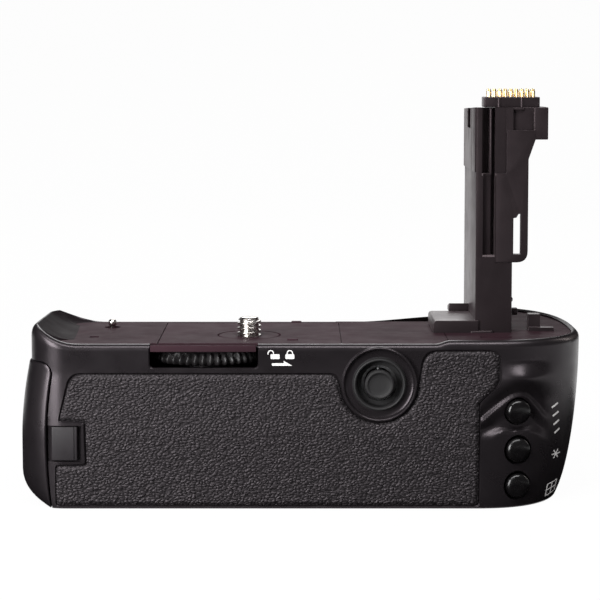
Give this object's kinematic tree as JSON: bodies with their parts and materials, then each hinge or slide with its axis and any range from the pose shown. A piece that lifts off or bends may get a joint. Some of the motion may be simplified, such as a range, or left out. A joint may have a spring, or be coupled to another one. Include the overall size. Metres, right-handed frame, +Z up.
{
  "type": "camera battery grip",
  "caption": "Battery grip that bolts under a camera: shelled body with battery tray, thumbwheel screw, contact stalk, thumb controller, push buttons, shutter button and dial.",
  "frame": {"origin": "mouth of the tripod socket in the base", "axes": "+X to the viewer's right, +Y to the front, towards the subject, +Z up to the camera"},
  "size_m": [0.1484, 0.0774, 0.1079],
  "materials": {
    "shell_plastic": "fine spark-textured satin black moulding",
    "deck_plastic": "smooth satin black moulding with a faint warm tint",
    "leatherette": "pebbled leather-grain rubber",
    "inner_plastic": "plain moulded plastic",
    "stalk_plastic": "fine matte black moulding",
    "bezel_plastic": "satin black with bright worn edges",
    "button_plastic": "polished black",
    "knob_rubber": "matte rubber",
    "wheel_rubber": "ribbed matte rubber",
    "cover_rubber": "smooth matte rubber",
    "steel": "plain steel",
    "screw_steel": "nickel-plated steel",
    "gold": "gold-plated contact",
    "brass_gear": "machined brass",
    "board": "green solder mask"
  },
  "bodies": {
    "housing": {"rear_shell": "shell_plastic", "front_shell": "shell_plastic", "deck_plate": "deck_plastic", "base_plate": "shell_plastic", "rear_leatherette": "leatherette", "front_grip_rubber": "leatherette", "tripod_bush": "steel", "base_screws": "steel", "battery_chamber": "inner_plastic", "chamber_contacts": "gold", "main_board": "board", "wheel_bracket": "inner_plastic", "wheel_axle": "steel", "screw_carrier": "steel", "carrier_screws": "steel", "locating_pin": "screw_steel", "stalk_body": "stalk_plastic", "stalk_cover": "stalk_plastic", "stalk_board": "board", "stalk_foot": "deck_plastic", "stalk_clip": "stalk_plastic", "stalk_screws": "steel", "connector_block": "stalk_plastic", "contact_pins": "gold", "door_post": "stalk_plastic", "button_board": "board", "tact_switches": "inner_plastic", "controller_base": "inner_plastic", "controller_bezel": "bezel_plastic", "controller_boot": "knob_rubber", "shutter_collar": "bezel_plastic", "control_board": "board", "dial_bracket": "inner_plastic", "dial_axle": "steel", "lock_keeper": "steel"},
    "wheel": {"thumbwheel": "wheel_rubber", "wheel_pinion": "brass_gear"},
    "screw": {"attachment_screw": "screw_steel", "screw_gear": "brass_gear"},
    "upper_key": {"upper_button": "button_plastic"},
    "middle_key": {"middle_button": "button_plastic"},
    "lower_key": {"lower_button": "button_plastic"},
    "gimbal": {"controller_gimbal": "steel"},
    "stem": {"controller_stem": "steel"},
    "knob": {"controller_knob": "knob_rubber"},
    "shutter": {"shutter_button": "button_plastic"},
    "function_key": {"function_button": "button_plastic"},
    "power": {"power_switch": "button_plastic"},
    "dial": {"main_dial": "wheel_rubber"},
    "tray": {"tray_frame": "inner_plastic", "tray_end_cap": "shell_plastic", "tray_contacts": "gold", "tray_screws": "steel"},
    "lock": {"lock_knob": "bezel_plastic", "lock_cam": "steel"},
    "flap": {"cord_cover": "cover_rubber"}
  },
  "joints": [
    {"name": "wheel_turn", "type": "hinge", "parent": "housing", "child": "wheel", "pos_m": [-0.0245, -0.022, 0.0386], "axis": [0, 0, 1], "continuous": true},
    {"name": "screw_turn", "type": "hinge", "parent": "housing", "child": "screw", "pos_m": [-0.0135, -0.0186, 0.042], "axis": [0, 0, 1], "continuous": true},
    {"name": "upper_button_press", "type": "slide", "parent": "housing", "child": "upper_key", "axis": [-0.2419, 0.9703, 0], "range_m": [0, 0.0008], "stiffness_N_per_m": 260},
    {"name": "middle_button_press", "type": "slide", "parent": "housing", "child": "middle_key", "axis": [-0.2419, 0.9703, 0], "range_m": [0, 0.0008], "stiffness_N_per_m": 260},
    {"name": "lower_button_press", "type": "slide", "parent": "housing", "child": "lower_key", "axis": [-0.2419, 0.9703, 0], "range_m": [0, 0.0008], "stiffness_N_per_m": 260},
    {"name": "controller_up_down", "type": "hinge", "parent": "housing", "child": "gimbal", "pos_m": [0.0204, -0.0314, 0.0325], "axis": [1, 0, 0], "range_deg": [-6, 6], "stiffness_Nm_per_rad": 0.03},
    {"name": "controller_left_right", "type": "hinge", "parent": "gimbal", "child": "stem", "pos_m": [0.0204, -0.0314, 0.0325], "axis": [0, 0, 1], "range_deg": [-6, 6], "stiffness_Nm_per_rad": 0.03},
    {"name": "controller_press", "type": "slide", "parent": "stem", "child": "knob", "axis": [0, 1, 0], "range_m": [0, 0.0006], "stiffness_N_per_m": 260},
    {"name": "shutter_press", "type": "slide", "parent": "housing", "child": "shutter", "axis": [-0.8525, -0.5228, 0], "range_m": [0, 0.0015], "stiffness_N_per_m": 260},
    {"name": "function_press", "type": "slide", "parent": "housing", "child": "function_key", "axis": [-0.5348, -0.845, 0], "range_m": [0, 0.0008], "stiffness_N_per_m": 260},
    {"name": "power_slide", "type": "slide", "parent": "housing", "child": "power", "axis": [0, 0, 1], "range_m": [0, 0.003]},
    {"name": "dial_turn", "type": "hinge", "parent": "housing", "child": "dial", "pos_m": [0.0653, 0.00925, 0.022], "axis": [0, 1, 0], "continuous": true},
    {"name": "tray_slide", "type": "slide", "parent": "housing", "child": "tray", "axis": [-1, 0, 0], "range_m": [0, 0.12]},
    {"name": "lock_turn", "type": "hinge", "parent": "tray", "child": "lock", "pos_m": [-0.066, -0.005, 0.02], "axis": [-1, 0, 0], "range_deg": [0, 90]},
    {"name": "cover_swing", "type": "hinge", "parent": "housing", "child": "flap", "pos_m": [-0.06355, -0.03725, 0.017], "axis": [0, 0, 1], "range_deg": [-100, 0]}
  ],
  "couplings": [
    {"joint": "screw_turn", "follows": "wheel_turn", "ratio": -0.5}
  ]
}
